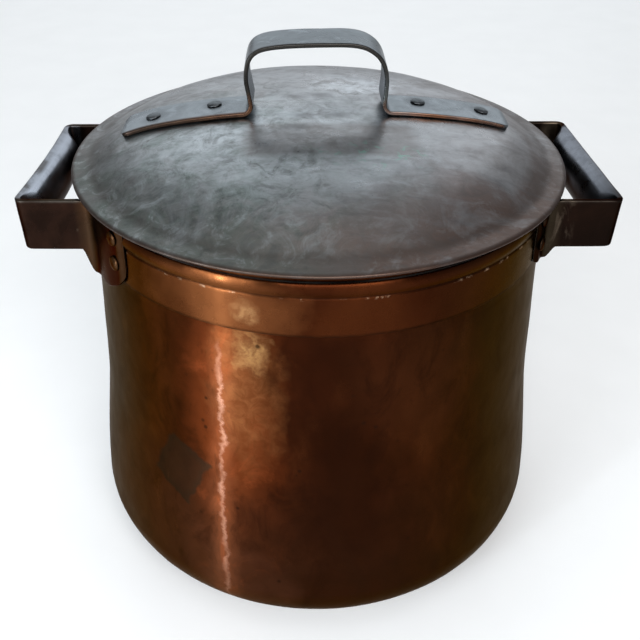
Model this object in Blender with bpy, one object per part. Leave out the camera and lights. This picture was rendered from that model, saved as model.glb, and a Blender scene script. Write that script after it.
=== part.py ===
"""Lidded copper soup pot with riveted strap handles.

Metres, +Z up. Origin: centre of the flat base on the table. +X runs along the two side handles.
The pot is a raised copper vessel with a thin neck band, a rolled rim and two forged strap handles.
The lid is a low dome with a flat flange, a locating ring underneath and a riveted strap handle.
"""
import math

import bmesh
import bpy
from mathutils import Matrix, Vector

# ---------------------------------------------------------------- driving dimensions
MM = 0.001
GAP = 0.3 * MM              # clearance left between touching pieces
RIM_Z = 295 * MM            # height of the lid edge, where the lid meets the pot
SEGMENTS = 48               # sides of every large turned piece

WALL_T = 2.0 * MM           # copper sheet of the vessel
WALL_TOP = RIM_Z - 9.3 * MM
BASE_R = 134 * MM           # flat part of the base
BASE_FILLET = 38 * MM       # hammered rounding between base and wall
# outer radius of the wall against height, from the belly up to the neck
WALL_SHAPE = ((38, 172.0), (60, 170.6), (89, 167.7), (115, 164.9), (141, 162.5),
              (192, 160.5), (236, 159.2), (249, 158.6), (286, 158.6))

BAND_T = 1.0 * MM           # neck band wrapped round the wall
BAND_TOP = RIM_Z - 9.3 * MM
BAND_BOTTOM = RIM_Z - 46 * MM
BAND_LINE = RIM_Z - 19.0 * MM   # scored line round the band
ROLL_R = 157.0 * MM         # rolled rim: centre radius, half depth and half height
ROLL_DEPTH = 3.0 * MM
ROLL_HEIGHT = 5.0 * MM

LID_R = 170 * MM
LID_T = 1.5 * MM
# top face of the lid, radius against height over the lid edge, from the crown to the flange
LID_SHAPE = ((0, 35.6), (25, 35.1), (48, 33.9), (70, 31.9), (94, 28.5), (114, 24.6), (128, 20.4),
             (139, 15.6), (147, 11.0), (153.5, 7.0), (159, 4.6), (165, 3.2))
RING_R = 153.2 * MM         # locating ring under the lid
RING_T = 1.2 * MM
RING_DEPTH = 14 * MM

STRAP_T = 4.0 * MM          # forged strap of the side handles
GRIP_NEAR_X = 198.6 * MM    # side handle: outer corner at the front
GRIP_FAR_X = 192.0 * MM     # and at the back, as forged a little out of square
GRIP_SPAN = {-1: 130 * MM, 1: 138 * MM}     # corner to corner, left and right handle
GRIP_MID = {-1: -1 * MM, 1: 2 * MM}         # middle of the grip from the X axis
GRIP_BOW = {-1: 1.6 * MM, 1: 0.0}           # the grip is dished in along its length by this
GRIP_LEAN = 2.3 * MM        # lower edge of the grip sits this much further in
GRIP_BELLY = 8.0 * MM       # the section of the grip is curved in towards the pot
GRIP_TUCK = 1.0 * MM        # and its lower edge is tucked in there
ARM_TOP = RIM_Z - 4.0 * MM
ARM_BOTTOM = {-1: RIM_Z - 40.5 * MM, 1: RIM_Z - 39.0 * MM}
FOOT_TOP = RIM_Z - 4.6 * MM
FOOT_BOTTOM = {-1: RIM_Z - 58 * MM, 1: RIM_Z - 48.5 * MM}
FOOT_T = 2.4 * MM           # the feet are beaten thin
FOOT_CORNER = {-1: 14 * MM, 1: 9 * MM}      # rounding of the feet's lower corners
ROOT_BEND = {-1: 14 * MM, 1: 5 * MM}        # centreline radius where an arm turns onto the wall
CORNER_BEND = 4.5 * MM      # centreline radius of the two grip corners
FOOT_END = {-1: 40.5, 1: 29.8}      # angle from the X axis to the end of each handle's feet
RIVET_AT = {-1: 36.8, 1: 26.9}      # angle of the rivet pair in each foot
BACK_SHIFT = {-1: 0.0, 1: 1.5}      # a back foot sits this much further round, in degrees
RIVET_Z = (RIM_Z - 14.2 * MM, RIM_Z - 32 * MM)

LID_STRAP_W = 34.5 * MM
LID_STRAP_T = 3.0 * MM
LEG_BEND = 6 * MM           # centreline radius where a leg turns into its foot
LEG_X = {-1: 46 * MM, 1: 43 * MM}           # centreline of a leg at its lower end
STRAP_END = {-1: 133.5 * MM, 1: 130.5 * MM}    # reach of the feet from the lid axis
# centreline of legs and crest in X and height over the rim, in mm
CREST = ((-47.6, 50), (-48.9, 59), (-48.2, 67.5), (-45.9, 74), (-41.4, 78.2), (-33.7, 80.6), (-19.9, 82.0),
         (0, 82.5), (17.9, 82.4), (27.6, 80.9), (34.1, 77.8), (39.2, 73.1), (42.6, 66.4), (44.0, 59), (43.9, 50))
STRAP_SKEW = ((-134, -2.3), (-46, -2.3), (43, 0.1), (131, 9.3))    # X and sideways place of the strap, in mm
LID_RIVETS = {"left_outer": (-112.8, -3.3), "left_inner": (-71.6, 1.5),
              "right_inner": (67.7, 5.6), "right_outer": (112.7, 8.5)}

SHANK_R = 2.2 * MM
HOLE_R = 2.6 * MM
HEAD_R = 5.2 * MM
HEAD_H = 2.3 * MM
TAIL_R = 4.6 * MM
TAIL_H = 1.6 * MM


# ---------------------------------------------------------------- helpers
def clear_scene():
    for ob in list(bpy.data.objects):
        bpy.data.objects.remove(ob, do_unlink=True)


def material(name, colour, rough, metal=1.0):
    mat = bpy.data.materials.new(name)
    mat.use_nodes = True
    bsdf = mat.node_tree.nodes["Principled BSDF"]
    bsdf.inputs["Base Color"].default_value = (*colour, 1.0)
    bsdf.inputs["Roughness"].default_value = rough
    bsdf.inputs["Metallic"].default_value = metal
    mat.diffuse_color = (*colour, 1.0)
    return mat


def finish(bm, name, mat, sharp=35.0):
    bmesh.ops.recalc_face_normals(bm, faces=bm.faces)
    mesh = bpy.data.meshes.new(name)
    bm.to_mesh(mesh)
    bm.free()
    mesh.shade_smooth()
    mesh.set_sharp_from_angle(angle=math.radians(sharp))
    mesh.materials.append(mat)
    ob = bpy.data.objects.new(name, mesh)
    bpy.context.scene.collection.objects.link(ob)
    return ob


def lathe(outline, segments):
    """Turn a closed (radius, height) outline round Z; points on the axis become one vertex."""
    bm = bmesh.new()
    rings = []
    for r, z in outline:
        if r < 1e-7:
            rings.append([bm.verts.new((0, 0, z))])
        else:
            rings.append([bm.verts.new((r * math.cos(a), r * math.sin(a), z))
                          for a in (2 * math.pi * i / segments for i in range(segments))])
    for j, low in enumerate(rings):
        high = rings[(j + 1) % len(rings)]
        if len(low) == 1 and len(high) == 1:
            continue
        for i in range(segments):
            k = (i + 1) % segments
            quad = [low[i % len(low)], low[k % len(low)], high[k % len(high)], high[i % len(high)]]
            corners = [v for n, v in enumerate(quad) if v not in quad[:n]]
            if len(corners) > 2:
                bm.faces.new(corners)
    return bm


def offset(points, distance):
    """Shift an open curve sideways, to the left of its direction."""
    out = []
    for i, p in enumerate(points):
        along = (points[min(i + 1, len(points) - 1)] - points[max(i - 1, 0)]).normalized()
        out.append(p + Vector((-along.y, along.x)) * distance)
    return out


def arc(centre, radius, start, end, steps):
    """Points on an arc in degrees, both ends included."""
    return [Vector((centre[0] + radius * math.cos(math.radians(start + (end - start) * i / steps)),
                    centre[1] + radius * math.sin(math.radians(start + (end - start) * i / steps))))
            for i in range(steps + 1)]


def cut(ob, cutter):
    mod = ob.modifiers.new("holes", "BOOLEAN")
    mod.operation = "DIFFERENCE"
    mod.solver = "EXACT"
    mod.object = cutter


def cutter_from(frames, name, low, high):
    """One guide object with a straight hole cylinder for every frame."""
    bm = bmesh.new()
    for frame in frames:
        bmesh.ops.create_cone(bm, cap_ends=True, segments=12, radius1=HOLE_R, radius2=HOLE_R,
                              depth=high - low,
                              matrix=frame @ Matrix.Translation((0, 0, (low + high) / 2)))
    mesh = bpy.data.meshes.new(name)
    bm.to_mesh(mesh)
    bm.free()
    ob = bpy.data.objects.new(name, mesh)
    bpy.context.scene.collection.objects.link(ob)
    ob.hide_render = True
    ob.display_type = "WIRE"
    return ob


def rivet(name, frame, tail, head, mat):
    """Rivet along its frame's Z: flat tail at `tail`, domed head standing on `head`."""
    outline = [(0, tail - TAIL_H), (TAIL_R * 0.7, tail - TAIL_H * 0.75), (TAIL_R, tail),
               (SHANK_R, tail), (SHANK_R, head), (HEAD_R, head)]
    outline += [(HEAD_R * math.cos(a), head + HEAD_H * math.sin(a))
                for a in (math.radians(x) for x in (25, 55))]
    outline += [(0, head + HEAD_H)]
    ob = finish(lathe(outline, 12), name, mat)
    ob.matrix_world = frame
    return ob


# ---------------------------------------------------------------- materials
clear_scene()
COPPER = material("aged_copper", (0.42, 0.15, 0.05), 0.32)
BAND_COPPER = material("band_copper", (0.50, 0.20, 0.07), 0.30)
DARK_STRAP = material("dark_strap", (0.07, 0.05, 0.045), 0.38)
LID_GREY = material("lid_grey", (0.23, 0.22, 0.22), 0.36)
LID_STRAP = material("lid_strap", (0.21, 0.20, 0.21), 0.38)
RIVET_COPPER = material("rivet_copper", (0.36, 0.20, 0.09), 0.36)

# ---------------------------------------------------------------- vessel
wall_outer = [Vector((r, z)) * MM for z, r in WALL_SHAPE]
fillet = arc((BASE_R, BASE_FILLET), wall_outer[0].x - BASE_R, -90, 0, 8)[:-1]
fillet = [Vector((p.x, BASE_FILLET + (p.y - BASE_FILLET) * BASE_FILLET / (wall_outer[0].x - BASE_R)))
          for p in fillet]
outer = [Vector((0, 0)), Vector((BASE_R * 0.5, 0))] + fillet + wall_outer
outer[-1].y = WALL_TOP
inner = offset(outer, WALL_T)
inner[0] = Vector((0, WALL_T))
inner[-1] = Vector((outer[-1].x - WALL_T, WALL_TOP))
pot_body = finish(lathe([tuple(p) for p in outer + inner[::-1]], SEGMENTS), "pot_body", COPPER)

# ---------------------------------------------------------------- neck band and rolled rim
neck_r = WALL_SHAPE[-1][1] * MM
band_in = neck_r + GAP
band_out = band_in + BAND_T
score = 0.5 * MM
neck_band = finish(lathe([(band_in, BAND_BOTTOM), (band_out - score, BAND_BOTTOM),
                          (band_out, BAND_BOTTOM + score), (band_out, BAND_LINE - 2 * score),
                          (band_out - score, BAND_LINE), (band_out, BAND_LINE + 2 * score),
                          (band_out, BAND_TOP), (band_in, BAND_TOP)], SEGMENTS),
                   "neck_band", BAND_COPPER, 20)

roll_z = WALL_TOP + GAP + ROLL_HEIGHT
rim_roll = finish(lathe([(ROLL_R + ROLL_DEPTH * math.cos(a), roll_z + ROLL_HEIGHT * math.sin(a))
                         for a in (2 * math.pi * i / 10 for i in range(10))], SEGMENTS),
                  "rim_roll", BAND_COPPER, 60)

# ---------------------------------------------------------------- side handles
foot_r = band_out + GAP + STRAP_T / 2       # centreline of the feet


def arm_path(side, half, grip, shift=0.0):
    """Centreline in plan from a foot's end to just before the grip corner, for a near arm on -X."""
    bend = ROOT_BEND[side]
    cx = math.sqrt((foot_r + bend) ** 2 - (half + bend) ** 2)
    meet = math.degrees(math.atan2(half + bend, cx))
    path = arc((0, 0), foot_r, 180 + FOOT_END[side] + shift, 180 + meet, 8)
    path += arc((-cx, -half - bend), bend, meet, 90, 7)[1:]
    start, corner = Vector((-cx, -half)), Vector((-grip + CORNER_BEND, -half))
    root = [start + (corner - start).normalized() * (d * MM) for d in (1.5, 3, 5)]
    return path + root + [start.lerp(corner, i / 3) for i in (1, 2)]


def fillet(before, tip, after, radius, steps):
    """Arc of this radius in the corner between two straight runs."""
    a, b = (before - tip).normalized(), (after - tip).normalized()
    half = a.angle(b) / 2
    centre = tip + (a + b).normalized() * (radius / math.sin(half))
    start, end = tip + a * (radius / math.tan(half)) - centre, tip + b * (radius / math.tan(half)) - centre
    first = math.atan2(start.y, start.x)
    turn = (math.atan2(end.y, end.x) - first + math.pi) % (2 * math.pi) - math.pi
    return [centre + Vector((math.cos(first + turn * i / steps), math.sin(first + turn * i / steps))) * radius
            for i in range(steps + 1)]


def handle_path(side):
    """Centreline of one strap in plan with the grip share of each point, for the handle on -X."""
    half = GRIP_SPAN[side] / 2 - STRAP_T / 2
    near_half, far_half = half - GRIP_MID[side], half + GRIP_MID[side]
    near_x, far_x = GRIP_NEAR_X - STRAP_T / 2, GRIP_FAR_X - STRAP_T / 2
    near_tip, far_tip = Vector((-near_x, -near_half)), Vector((-far_x, far_half))
    inward = Vector((1, 0))
    near = arm_path(side, near_half, near_x) + fillet(near_tip + inward, near_tip, far_tip, CORNER_BEND, 5)
    far = [Vector((p.x, -p.y)) for p in arm_path(side, far_half, far_x, BACK_SHIFT[side])]
    far += fillet(far_tip + inward, far_tip, near_tip, CORNER_BEND, 5)
    steps = 12
    middle = []
    for i in range(1, steps):
        t = (1 - math.cos(math.pi * i / steps)) / 2
        middle.append((near[-1].lerp(far[-1], t) + inward * (GRIP_BOW[side] * math.sin(math.pi * t)), t))
    return [(p, 0.0) for p in near] + middle + [(p, 1.0) for p in reversed(far)]


def rounding(radius, from_end):
    """How far a rounded corner of this radius cuts in, this far from the strap's end."""
    return radius - math.sqrt(max(0.0, radius ** 2 - (radius - min(from_end, radius)) ** 2))


def handle_mesh(side):
    """Sweep the strap: rows run down its height, the feet flare and the grip is bellied inwards."""
    stations = handle_path(side)
    path = [p for p, _ in stations]
    rows = 6
    length = [0.0]
    for a, b in zip(path, path[1:]):
        length.append(length[-1] + (b - a).length)
    bm = bmesh.new()
    grids = []
    for skin, thinned in ((offset(path, -STRAP_T / 2), 0), (offset(path, STRAP_T / 2), 1)):
        grid = []
        for i, p in enumerate(skin):
            reach = math.hypot(path[i].x, path[i].y)
            from_end = min(length[i], length[-1] - length[i])
            # 1 on the foot, 0 on the arm
            t = max(0.0, min(1.0, (foot_r + 8 * MM - reach) / (5.8 * MM)))
            flare = t * t * (3 - 2 * t)
            p = p.lerp(path[i], thinned * flare * (2 - 2 * FOOT_T / STRAP_T))
            # foot corners are rounded off
            nip_top, nip_low = rounding(4 * MM, from_end), rounding(FOOT_CORNER[side], from_end)
            top = ARM_TOP + (FOOT_TOP - ARM_TOP) * flare - nip_top
            low = ARM_BOTTOM[side] + (FOOT_BOTTOM[side] - ARM_BOTTOM[side]) * flare + nip_low
            share = stations[i][1]
            g = min(1.0, min(share, 1 - share) * GRIP_SPAN[side] / (16 * MM))
            on_grip = g * g * (3 - 2 * g)
            column = []
            for j in range(rows + 1):
                s = j / rows
                belly = on_grip * (GRIP_BELLY * math.sin(math.pi * s) ** 0.7 + GRIP_TUCK * s)
                lean = GRIP_LEAN * s * max(0.0, min(1.0, (-path[i].x - foot_r) / (GRIP_NEAR_X - foot_r)))
                column.append(bm.verts.new((p.x + belly + lean, p.y, top + (low - top) * s)))
            grid.append(column)
        grids.append(grid)
    out, ins = grids
    n = len(path)
    for i in range(n - 1):
        for j in range(rows):
            bm.faces.new((out[i][j], out[i + 1][j], out[i + 1][j + 1], out[i][j + 1]))
            bm.faces.new((ins[i][j + 1], ins[i + 1][j + 1], ins[i + 1][j], ins[i][j]))
        bm.faces.new((ins[i][0], ins[i + 1][0], out[i + 1][0], out[i][0]))
        bm.faces.new((out[i][rows], out[i + 1][rows], ins[i + 1][rows], ins[i][rows]))
    for i in (0, n - 1):
        for j in range(rows):
            bm.faces.new((out[i][j], out[i][j + 1], ins[i][j + 1], ins[i][j]))
    if side > 0:
        bmesh.ops.scale(bm, vec=(-1, 1, 1), verts=bm.verts)
    return bm


left_handle = finish(handle_mesh(-1), "left_handle", DARK_STRAP)
right_handle = finish(handle_mesh(1), "right_handle", DARK_STRAP)

# ---------------------------------------------------------------- side handle rivets
side_frames = []
for side, side_name in ((-1, "left"), (1, "right")):
    for face, face_name in ((-1, "front"), (1, "back")):
        for z, row in zip(RIVET_Z, ("upper", "lower")):
            a = math.radians(RIVET_AT[side] + (BACK_SHIFT[side] if face > 0 else 0.0))
            out_dir = Vector((side * math.cos(a), face * math.sin(a), 0))
            frame = out_dir.to_track_quat("Z", "Y").to_matrix().to_4x4()
            frame.translation = Vector((0, 0, z))
            side_frames.append((f"rivet_{side_name}_{face_name}_{row}", frame))

side_cutter = cutter_from([f for _, f in side_frames], "side_hole_guide", 0.14, 0.19)
for ob in (pot_body, neck_band, left_handle, right_handle):
    cut(ob, side_cutter)
for name, frame in side_frames:
    rivet(name, frame, neck_r - WALL_T - 2 * GAP, foot_r - STRAP_T / 2 + FOOT_T + GAP, RIVET_COPPER)

# ---------------------------------------------------------------- lid
lid_axis = bpy.data.objects.new("lid_axis", None)
lid_axis.location = (0, 0, RIM_Z)
bpy.context.scene.collection.objects.link(lid_axis)


def on_lid(ob):
    """Hang a piece modelled round the lid centre on the lid's own axis."""
    ob.parent = lid_axis
    return ob


crown = [Vector(p) * MM for p in LID_SHAPE]
top_face = crown + [Vector((LID_R - 1.2 * MM, 2.2 * MM)), Vector((LID_R, 1.0 * MM))]
under = [Vector((max(p.x, 0), p.y)) for p in offset(crown, -LID_T)]
under[0] = Vector((0, crown[0].y - LID_T))
under.append(Vector((LID_R - 0.8 * MM, 0)))
lid_dome = finish(lathe([tuple(p) for p in top_face + under[::-1]], SEGMENTS), "lid_dome", LID_GREY, 25)
on_lid(lid_dome)


def lid_height(x):
    """Height of the lid's top face over the lid edge, at this radius."""
    for a, b in zip(crown, crown[1:]):
        if a.x <= x <= b.x:
            return a.y + (b.y - a.y) * (x - a.x) / (b.x - a.x)
    return crown[-1].y


ring_top = lid_height(RING_R) - LID_T * 1.25 - GAP
lid_ring = finish(lathe([(RING_R - RING_T, -RING_DEPTH), (RING_R, -RING_DEPTH), (RING_R, ring_top - 0.6 * MM),
                         (RING_R - RING_T, ring_top)], SEGMENTS), "lid_ring", LID_GREY, 25)
on_lid(lid_ring)

# ---------------------------------------------------------------- lid handle
def skew(x):
    """Sideways place of the strap's middle at this X: its right foot was set askew."""
    for (xa, ya), (xb, yb) in zip(STRAP_SKEW, STRAP_SKEW[1:]):
        if x <= xb * MM:
            return (ya + (yb - ya) * (x / MM - xa) / (xb - xa)) * MM
    return STRAP_SKEW[-1][1] * MM


def strap_foot(side):
    """Centreline of one foot of the lid strap in its own X-Z plane, from its end up to the leg."""
    lift = LID_STRAP_T / 2 + 1.3 * GAP
    inner_x = LEG_X[side] + LEG_BEND
    foot = []
    steps = 11
    for i in range(steps + 1):
        x = STRAP_END[side] + (inner_x - STRAP_END[side]) * i / steps
        slope = (lid_height(x + 1 * MM) - lid_height(x - 1 * MM)) / (2 * MM)
        foot.append(Vector((x, lid_height(x))) + Vector((-slope, 1)).normalized() * lift)
    base = foot[-1]
    slope = math.degrees(math.atan2(foot[-1].y - foot[-2].y, foot[-2].x - foot[-1].x))
    bend = arc((base.x, base.y + LEG_BEND), LEG_BEND, -90 - slope, -180, 5)[1:]
    return [Vector((side * p.x, p.y)) for p in foot + bend]


def lid_strap_mesh():
    path = strap_foot(-1) + [Vector(p) * MM for p in CREST] + strap_foot(1)[::-1]
    upper = offset(path, LID_STRAP_T / 2)
    lower = offset(path, -LID_STRAP_T / 2)
    n = len(path)
    bm = bmesh.new()
    rows = []
    length = [0.0]
    for a, b in zip(path, path[1:]):
        length.append(length[-1] + (b - a).length)
    for i in range(n):
        from_end = min(length[i], length[-1] - length[i])
        corner = 7 * MM
        nip = corner - math.sqrt(max(0.0, corner ** 2 - (corner - min(from_end, corner)) ** 2))
        half = LID_STRAP_W / 2 - nip * 0.8
        y = skew(path[i].x)
        rows.append([bm.verts.new((p.x, y + across * half, p.y))
                     for p, across in ((upper[i], -1), (upper[i], 1), (lower[i], 1), (lower[i], -1))])
    for a, b in zip(rows, rows[1:]):
        for k in range(4):
            m = (k + 1) % 4
            bm.faces.new((a[k], a[m], b[m], b[k]))
    bm.faces.new(rows[0])
    bm.faces.new(rows[-1][::-1])
    return bm


lid_handle = finish(lid_strap_mesh(), "lid_handle", LID_STRAP)
on_lid(lid_handle)

lid_frames = []
for place, (x, y) in LID_RIVETS.items():
    r = math.hypot(x, y)
    slope = (lid_height((r + 2) * MM) - lid_height((r - 2) * MM)) / (4 * MM)
    up = Vector((-slope * x / r, -slope * y / r, 1)).normalized()
    frame = up.to_track_quat("Z", "Y").to_matrix().to_4x4()
    frame.translation = Vector((x * MM, y * MM, lid_height(r * MM)))
    lid_frames.append((f"lid_rivet_{place}", frame))
lid_cutter = cutter_from([f for _, f in lid_frames], "lid_hole_guide", -0.012, 0.012)
on_lid(lid_cutter)
for ob in (lid_dome, lid_handle):
    cut(ob, lid_cutter)
for name, frame in lid_frames:
    ob = rivet(name, frame, -LID_T - 2 * GAP, LID_STRAP_T + 2 * GAP, RIVET_COPPER)
    on_lid(ob)
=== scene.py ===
"""Looks for the lidded copper soup pot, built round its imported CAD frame.

Every visible piece is a fine mesh made here from the same dimensions as the CAD solids: hand-hammered
sheet, forged straps with soft edges and hammered rivet heads. Materials are procedural.
"""
from math import atan2, cos, degrees, exp, hypot, pi, radians, sin, sqrt, tan

import bmesh
import bpy
from mathutils import Matrix, Vector, noise


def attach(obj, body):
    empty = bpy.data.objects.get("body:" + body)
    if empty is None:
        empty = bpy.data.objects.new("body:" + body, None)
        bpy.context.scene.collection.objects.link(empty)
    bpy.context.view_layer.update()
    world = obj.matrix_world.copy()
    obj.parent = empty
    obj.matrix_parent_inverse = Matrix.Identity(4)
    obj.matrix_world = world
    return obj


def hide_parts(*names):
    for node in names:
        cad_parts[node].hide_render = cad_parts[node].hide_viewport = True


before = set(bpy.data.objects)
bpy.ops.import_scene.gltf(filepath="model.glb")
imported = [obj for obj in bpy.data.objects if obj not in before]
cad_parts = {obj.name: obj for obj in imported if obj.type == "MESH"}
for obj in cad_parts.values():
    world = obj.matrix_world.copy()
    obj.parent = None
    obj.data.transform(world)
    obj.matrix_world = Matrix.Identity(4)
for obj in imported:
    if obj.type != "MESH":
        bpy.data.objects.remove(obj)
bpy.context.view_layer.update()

# ---- dimensions, in metres
MM = 0.001
RIM_Z = 295 * MM            # lid edge
GAP = 0.3 * MM
ROUND = 240                 # sides of the large turned pieces

# tables of (x or height, value) are in millimetres, and pairs keyed -1 and 1 are left and right
WALL_T = 2.0 * MM
WALL_TOP = RIM_Z - 9.3 * MM
BASE_R = 134 * MM
BASE_FILLET = 38 * MM
WALL_SHAPE = ((38, 171.6), (60, 170.4), (89, 167.6), (115, 164.8), (141, 162.4),
              (192, 160.4), (236, 159.1), (249, 158.6), (286, 158.6))
NECK_R = 158.6 * MM
BAND_OUT = NECK_R + 1.3 * MM
BAND_TOP = RIM_Z - 9.3 * MM
BAND_BOTTOM = RIM_Z - 46 * MM
BAND_LINE = RIM_Z - 19 * MM

ROLL_R, ROLL_DEPTH, ROLL_HEIGHT = 157.0 * MM, 3.0 * MM, 5.0 * MM

LID_R = 170 * MM
LID_T = 1.5 * MM
LID_SHAPE = ((0, 35.6), (25, 35.1), (48, 33.9), (70, 31.9), (94, 28.5), (114, 24.6), (128, 20.4),
             (139, 15.6), (147, 11.0), (153.5, 7.0), (159, 4.6), (165, 3.2))
RING_R, RING_T, RING_DEPTH = 153.2 * MM, 1.2 * MM, 14 * MM

STRAP_T = 4.0 * MM
GRIP_NEAR_X, GRIP_FAR_X = 198.6 * MM, 192.0 * MM
GRIP_SPAN = {-1: 130 * MM, 1: 138 * MM}
GRIP_MID = {-1: -1 * MM, 1: 2 * MM}
GRIP_BOW = {-1: 1.6 * MM, 1: 0.0}
GRIP_LEAN, GRIP_BELLY, GRIP_TUCK = 2.3 * MM, 8.0 * MM, 1.0 * MM
GRIP_ROUND = 0.42           # share of a grip's height that is rounded over at the top
STRAP_EDGE = 0.9 * MM       # rounding of the strap's outer edges
ARM_TOP = RIM_Z - 4.0 * MM
ARM_BOTTOM = {-1: RIM_Z - 40.5 * MM, 1: RIM_Z - 39.0 * MM}
FOOT_TOP = RIM_Z - 4.6 * MM
FOOT_BOTTOM = {-1: RIM_Z - 58 * MM, 1: RIM_Z - 48.5 * MM}
FOOT_T = 2.4 * MM           # the feet are beaten thin
FEATHER, FEATHER_T = 7 * MM, 1.8 * MM       # a foot loses this much more over this length at its end
FOOT_RISE = {-1: 11 * MM, 1: 2 * MM}        # how much a foot's lower edge climbs towards its end
RISE_OVER = 32 * MM
FOOT_CORNER = {-1: 14 * MM, 1: 9 * MM}
TOP_CORNER = 4 * MM
FLARE_FROM, FLARE_OVER = 8 * MM, 5.8 * MM   # an arm becomes a foot at this distance from the wall
GRIP_EASE = 16 * MM         # a grip swells to its full belly over this length
DENTS_FROM, DENTS_OVER = 5 * MM, 8 * MM     # the strap is only dented this far from the wall
ROOT_BEND = {-1: 14 * MM, 1: 5 * MM}
CORNER_BEND = 4.5 * MM
FOOT_END = {-1: 40.5, 1: 29.8}              # degrees round the pot from the X axis
RIVET_AT = {-1: 36.8, 1: 26.9}
BACK_SHIFT = {-1: 0.0, 1: 1.5}
RIVET_Z = (RIM_Z - 14.2 * MM, RIM_Z - 32 * MM)

LID_STRAP_W, LID_STRAP_T = 34.5 * MM, 3.0 * MM
LID_FOOT_CORNER = 7 * MM
LEG_BEND = 6 * MM
LEG_X = {-1: 46 * MM, 1: 43 * MM}
STRAP_END = {-1: 133.5 * MM, 1: 130.5 * MM}
CREST = ((-47.6, 50), (-48.9, 59), (-48.2, 67.5), (-45.9, 74), (-41.4, 78.2), (-33.7, 80.6),
         (-19.9, 82.0), (0, 82.5), (17.9, 82.4), (27.6, 80.9), (34.1, 77.8), (39.2, 73.1),
         (42.6, 66.4), (44.0, 59), (43.9, 50))
STRAP_SKEW = ((-134, -2.3), (-46, -2.3), (43, 0.1), (131, 9.3))
LID_RIVETS = {"left_outer": (-112.8, -3.3), "left_inner": (-71.6, 1.5),
              "right_inner": (67.7, 5.6), "right_outer": (112.7, 8.5)}
SHANK_R, HEAD_R, HEAD_H, TAIL_R, TAIL_H = 2.2 * MM, 5.2 * MM, 2.3 * MM, 4.6 * MM, 1.6 * MM


# ---- mesh helpers
def noisy(p, size, seed=0.0):
    """Smooth noise of about -1 to 1 with features of this size."""
    return noise.noise(Vector((p[0] / size + seed, p[1] / size - seed, p[2] / size + 2 * seed)))


def add_object(name, data):
    ob = bpy.data.objects.new(name, data)
    bpy.context.scene.collection.objects.link(ob)
    return ob


def make_object(name, verts, faces, materials, face_material=None, sharp=50.0):
    mesh = bpy.data.meshes.new(name)
    mesh.from_pydata([tuple(v) for v in verts], [], faces)
    for mat in materials:
        mesh.materials.append(mat)
    if face_material:
        mesh.polygons.foreach_set("material_index", face_material)
    bm = bmesh.new()
    bm.from_mesh(mesh)
    bmesh.ops.recalc_face_normals(bm, faces=bm.faces)
    bm.to_mesh(mesh)
    bm.free()
    mesh.shade_smooth()
    mesh.set_sharp_from_angle(angle=radians(sharp))
    return add_object(name, mesh)


def place(ob, body, slot, *nodes):
    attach(ob, body)
    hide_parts(*nodes)


def clamp(value):
    return max(0.0, min(1.0, value))


def blend_in(value):
    """Smooth step from 0 to 1."""
    t = clamp(value)
    return t * t * (3 - 2 * t)


def interpolate(table, x):
    """Value at x in a table of (x, value), straight between the rows and level beyond the last."""
    for (xa, ya), (xb, yb) in zip(table, table[1:]):
        if x <= xb:
            return ya + (yb - ya) * (x - xa) / (xb - xa)
    return table[-1][1]


def smooth_curve(points, steps):
    """Catmull-Rom curve through 2-D points, with this many steps in each stretch."""
    pts = [Vector(p) for p in points]
    pts = [2 * pts[0] - pts[1]] + pts + [2 * pts[-1] - pts[-2]]
    out = []
    for a, b, c, d in zip(pts, pts[1:], pts[2:], pts[3:]):
        for i in range(steps):
            t = i / steps
            out.append(0.5 * (2 * b + (c - a) * t + (2 * a - 5 * b + 4 * c - d) * t * t
                              + (3 * b - a - 3 * c + d) * t ** 3))
    return out + [pts[-2]]


def normals(points):
    """Directions to the left of an open 2-D curve, one for each point."""
    out = []
    for i in range(len(points)):
        along = (points[min(i + 1, len(points) - 1)] - points[max(i - 1, 0)]).normalized()
        out.append(Vector((-along.y, along.x)))
    return out


def offset(points, distance):
    """Shift an open 2-D curve sideways, to the left of its direction."""
    return [p + n * distance for p, n in zip(points, normals(points))]


def lengths(points):
    """Distance along a curve, up to each of its points."""
    out = [0.0]
    for a, b in zip(points, points[1:]):
        out.append(out[-1] + (b - a).length)
    return out


def arc(centre, radius, start, end, steps):
    """Points on an arc in degrees, both ends included."""
    return [Vector((centre[0] + radius * cos(radians(start + (end - start) * i / steps)),
                    centre[1] + radius * sin(radians(start + (end - start) * i / steps))))
            for i in range(steps + 1)]


def resample(points, step):
    """Even spacing of about this step along a 2-D curve."""
    length = lengths(points)
    count = max(2, round(length[-1] / step))
    out, j = [], 0
    for i in range(count + 1):
        s = length[-1] * i / count
        while j < len(points) - 2 and length[j + 1] < s:
            j += 1
        span = length[j + 1] - length[j]
        out.append(points[j].lerp(points[j + 1], (s - length[j]) / span if span else 0.0))
    return out


def turned(name, outline, materials, shape=None, zone=None, segments=ROUND, sharp=50.0):
    """Turn a closed (radius, height) outline round Z. shape(point, index) moves a finished point,
    zone(index) gives the material of the faces from that outline point to the next."""
    verts, rings = [], []
    for j, (r, z) in enumerate(outline):
        count = 1 if r < 1e-7 else segments
        rings.append((len(verts), count))
        for i in range(count):
            a = 2 * pi * i / segments
            p = Vector((r * cos(a), r * sin(a), z))
            verts.append(shape(p, j) if shape else p)
    faces, mats = [], []
    for j, (low, n_low) in enumerate(rings):
        high, n_high = rings[(j + 1) % len(rings)]
        if n_low == 1 and n_high == 1:
            continue
        for i in range(segments):
            k = (i + 1) % segments
            quad = [low + i % n_low, low + k % n_low, high + k % n_high, high + i % n_high]
            faces.append([v for n, v in enumerate(quad) if v not in quad[:n]])
            mats.append(zone(j) if zone else 0)
    return make_object(name, verts, faces, materials, mats, sharp)


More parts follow.
